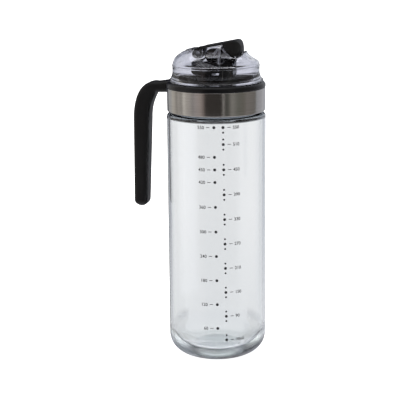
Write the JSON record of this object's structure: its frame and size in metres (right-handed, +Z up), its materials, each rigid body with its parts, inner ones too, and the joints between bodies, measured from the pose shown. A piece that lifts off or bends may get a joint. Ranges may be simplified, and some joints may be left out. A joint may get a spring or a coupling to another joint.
{
  "type": "oil dispenser",
  "caption": "Clear glass oil bottle with a screw-on pouring head: steel band, side handle, clear dome with a raised nose, and a weighted flap that opens when the bottle is tipped.",
  "frame": {"origin": "middle of the flat under the bottle's base", "axes": "+Z up along the bottle, +X towards the pouring nose, -X towards the handle"},
  "size_m": [0.095, 0.07, 0.2277],
  "materials": {
    "clear_glass": "clear, polished",
    "brushed_steel": "brushed round the band",
    "handle_black": "fine satin, matt black",
    "clear_plastic": "clear, moulded",
    "core_black": "moulded black",
    "flap_black": "satin black",
    "bright_chrome": "polished",
    "cap_black": "satin black",
    "gasket_silicone": "clear white silicone",
    "seal_silicone": "clear white silicone",
    "pin_steel": "ground steel",
    "pad_silicone": "dark silicone",
    "screw_steel": "plain steel"
  },
  "bodies": {
    "bottle": {"glass_bottle": "clear_glass"},
    "lift": {"neck_gasket": "gasket_silicone"},
    "head": {"screw_cap": "cap_black", "steel_sleeve": "brushed_steel", "handle": "handle_black", "clear_dome": "clear_plastic", "dome_seal": "seal_silicone", "pour_core": "core_black", "hinge_pin": "pin_steel"},
    "flap_group": {"flap": "flap_black", "counterweight": "bright_chrome", "weight_screw": "screw_steel", "stopper_pad": "pad_silicone"}
  },
  "joints": [
    {"name": "head_lift", "type": "slide", "parent": "bottle", "child": "lift", "axis": [0, 0, 1], "range_m": [0, 0.0188]},
    {"name": "head_turn", "type": "hinge", "parent": "lift", "child": "head", "pos_m": [0, 0, 0.1939], "axis": [0, 0, 1], "range_deg": [0, 480]},
    {"name": "flap_swing", "type": "hinge", "parent": "head", "child": "flap_group", "pos_m": [-0.011, 0, 0.21821], "axis": [0, -1, 0], "range_deg": [0, 65]}
  ],
  "couplings": [
    {"joint": "head_lift", "follows": "head_turn", "m_per_rad": 0.0022282}
  ]
}
